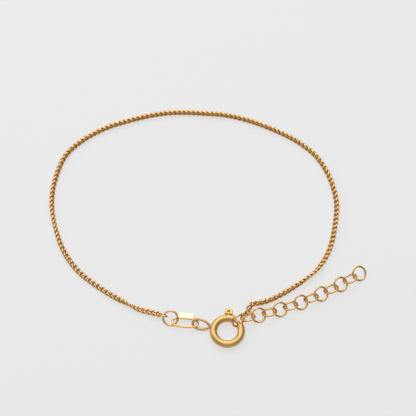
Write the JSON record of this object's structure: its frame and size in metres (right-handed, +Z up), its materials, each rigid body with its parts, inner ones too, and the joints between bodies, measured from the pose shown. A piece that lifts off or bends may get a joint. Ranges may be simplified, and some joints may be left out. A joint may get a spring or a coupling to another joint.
{
  "type": "cuban link bracelet",
  "caption": "Fine gold curb-link bracelet lying in an open loop, closed by a round sprung clasp, with a small bare tag and a short adjusting tail of round rings.",
  "frame": {"origin": "on the surface that the bracelet lies on, under the middle of its bounding box", "axes": "+Z up from the surface, +X from the chain's left end towards the free end of the tail, +Y from the clasp towards the far side of the loop"},
  "size_m": [0.0637, 0.0523, 0.003],
  "materials": {
    "chain_gold": "polished gold plate",
    "ring_gold": "polished gold plate",
    "tag_gold": "bright polished gold plate",
    "satin_gold": "satin gold plate"
  },
  "bodies": {
    "bracelet": {"curb_chain": "chain_gold", "end_link": "ring_gold", "end_ring": "ring_gold", "tag_link": "tag_gold", "clasp_case": "satin_gold", "joining_ring": "ring_gold", "last_link": "ring_gold", "tail_ring_01": "ring_gold", "tail_ring_02": "ring_gold", "tail_ring_03": "ring_gold", "tail_ring_04": "ring_gold", "tail_ring_05": "ring_gold", "tail_ring_06": "ring_gold", "tail_ring_07": "ring_gold", "tail_ring_08": "ring_gold", "tail_ring_09": "ring_gold", "tail_ring_10": "ring_gold", "tail_ring_11": "ring_gold", "tail_ring_12": "ring_gold"},
    "bolt": {"clasp_bolt": "satin_gold"}
  },
  "joints": [
    {"name": "bolt_slide", "type": "hinge", "parent": "bracelet", "child": "bolt", "pos_m": [0.00395, -0.0227, 0.00088], "axis": [0, 0, 1], "range_deg": [0, 45], "stiffness_Nm_per_rad": 0.001}
  ]
}
